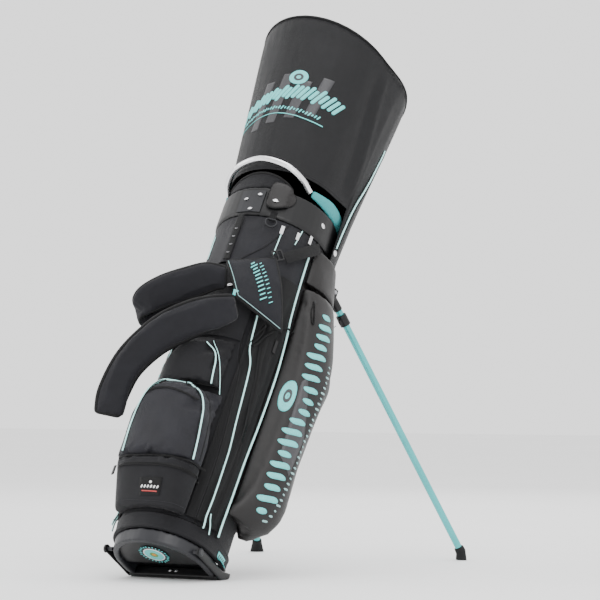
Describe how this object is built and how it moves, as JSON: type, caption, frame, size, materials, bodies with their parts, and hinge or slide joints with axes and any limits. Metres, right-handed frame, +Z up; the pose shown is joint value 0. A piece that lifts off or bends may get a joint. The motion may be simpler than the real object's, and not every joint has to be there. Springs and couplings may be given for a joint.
{
  "type": "golf stand bag",
  "caption": "Upright golf bag tilted on its swing-out stand legs, with hood, club dividers, zip pockets, padded shoulder strap and a foot lever that drives the legs.",
  "frame": {"origin": "middle of the base heel's resting facet, on the ground", "axes": "+Z up, +Y towards the two legs, +X to the bag's right"},
  "size_m": [0.5602, 0.909, 1.2116],
  "materials": {
    "nylon_black": "woven nylon, matt",
    "nylon_grey": "coated woven nylon",
    "mesh_black": "spacer mesh",
    "hood_fabric": "smooth coated nylon",
    "gloss_fabric": "pebbled coated fabric, satin",
    "moulded_black": "moulded",
    "moulded_grey": "moulded, fine grain",
    "rubber_black": "matt",
    "teal_padding": "padded knit",
    "teal_anodised": "coloured, satin",
    "silver": "polished",
    "steel": "satin",
    "emblem": "moulded badge",
    "pad_foam": "smooth neoprene face"
  },
  "bodies": {
    "bag": {"base_ring": "moulded_grey", "base_heel": "moulded_black", "base_floor": "moulded_black", "base_emblem": "emblem", "base_collar": "nylon_black", "lever_pin_left": "steel", "lever_pin_right": "steel", "bag_tube": "nylon_black", "top_cuff": "moulded_black", "cuff_rim_pad": "teal_padding", "front_arch": "moulded_black", "divider_frame": "moulded_black", "grab_handle": "silver", "belt_plate": "moulded_grey", "lobe_flap": "moulded_black", "d_ring_loop": "nylon_black", "side_pocket_left": "gloss_fabric", "side_pocket_right": "gloss_fabric", "upper_pocket_left": "gloss_fabric", "upper_pocket_right": "gloss_fabric", "zip_gusset_left": "mesh_black", "zip_gusset_right": "mesh_black", "ball_pocket": "nylon_grey", "lower_pouch": "nylon_grey", "valuables_pocket": "nylon_black", "upper_front_pocket": "nylon_grey", "strap_backing": "nylon_black", "strap_pad_upper": "pad_foam", "strap_pad_lower": "pad_foam", "strap_centre_pad": "pad_foam", "strap_webbing": "nylon_black", "strap_buckle": "moulded_black", "front_belt": "nylon_black", "leg_bracket": "moulded_black", "leg_pin_left": "steel", "leg_pin_right": "steel", "rod_guide_upper": "moulded_black", "rod_guide_lower": "moulded_black", "spine_panel": "nylon_black", "zip_pull_pouch": "moulded_black"},
    "hood": {"hood_shell": "hood_fabric", "hood_roof": "hood_fabric", "hood_tab": "nylon_black"},
    "leg_left": {"leg_cap_left": "moulded_black", "leg_tube_left": "teal_anodised", "leg_collar_left": "moulded_black", "leg_foot_left": "rubber_black"},
    "leg_right": {"leg_cap_right": "moulded_black", "leg_tube_right": "teal_anodised", "leg_collar_right": "moulded_black", "leg_foot_right": "rubber_black"},
    "actuator": {"actuator_rod": "steel"},
    "strut_left": {"strut_wire_left": "steel"},
    "strut_right": {"strut_wire_right": "steel"},
    "lever": {"foot_lever": "moulded_black"},
    "ring": {"d_ring": "steel"},
    "pull_a": {"zip_pull_upper_a": "silver"},
    "pull_b": {"zip_pull_upper_b": "silver"},
    "pull_c": {"zip_pull_upper_c": "silver"},
    "pull_gusset": {"zip_pull_gusset": "moulded_black"}
  },
  "joints": [
    {"name": "leg_left_swing", "type": "hinge", "parent": "bag", "child": "leg_left", "pos_m": [-0.0949, 0.46062, 0.58515], "axis": [-0.9565, -0.2447, 0.1589], "range_deg": [0, 61.5]},
    {"name": "leg_right_swing", "type": "hinge", "parent": "bag", "child": "leg_right", "pos_m": [0.0949, 0.46062, 0.58515], "axis": [-0.9565, 0.2447, -0.1589], "range_deg": [0, 61.5]},
    {"name": "actuator_slide", "type": "slide", "parent": "bag", "child": "actuator", "axis": [0, 0.5446, 0.8387], "range_m": [-0.0351, 0]},
    {"name": "strut_left_turn", "type": "hinge", "parent": "actuator", "child": "strut_left", "pos_m": [-0.045, 0.37098, 0.4396], "axis": [0.8793, 0.4672, 0.0919], "range_deg": [0, 26.57]},
    {"name": "strut_right_turn", "type": "hinge", "parent": "actuator", "child": "strut_right", "pos_m": [0.045, 0.37098, 0.4396], "axis": [0.8793, -0.4672, -0.0919], "range_deg": [0, 26.57]},
    {"name": "foot_lever_turn", "type": "hinge", "parent": "bag", "child": "lever", "pos_m": [0, -0.08311, 0.05983], "axis": [1, 0, 0], "range_deg": [-12.1, 0]},
    {"name": "hood_lift", "type": "slide", "parent": "bag", "child": "hood", "axis": [0, 0.5446, 0.8387], "range_m": [0, 0.45]},
    {"name": "d_ring_swing", "type": "hinge", "parent": "bag", "child": "ring", "pos_m": [0.06197, 0.27054, 0.73577], "axis": [-0.8829, -0.3937, 0.2557], "range_deg": [0, 90]},
    {"name": "pull_a_slide", "type": "slide", "parent": "bag", "child": "pull_a", "axis": [0, -0.5446, -0.8387], "range_m": [0, 0.045]},
    {"name": "pull_b_slide", "type": "slide", "parent": "bag", "child": "pull_b", "axis": [0, -0.5446, -0.8387], "range_m": [0, 0.035]},
    {"name": "pull_c_slide", "type": "slide", "parent": "bag", "child": "pull_c", "axis": [0, -0.5446, -0.8387], "range_m": [0, 0.05]},
    {"name": "pull_gusset_slide", "type": "slide", "parent": "bag", "child": "pull_gusset", "axis": [0, -0.5446, -0.8387], "range_m": [0, 0.3]}
  ],
  "couplings": [
    {"joint": "leg_right_swing", "follows": "leg_left_swing", "ratio": 1},
    {"joint": "actuator_slide", "follows": "leg_left_swing", "m_per_rad": -0.032607},
    {"joint": "strut_left_turn", "follows": "leg_left_swing", "ratio": 0.42876},
    {"joint": "strut_right_turn", "follows": "leg_left_swing", "ratio": 0.42876},
    {"joint": "foot_lever_turn", "follows": "leg_left_swing", "ratio": -0.19512}
  ]
}
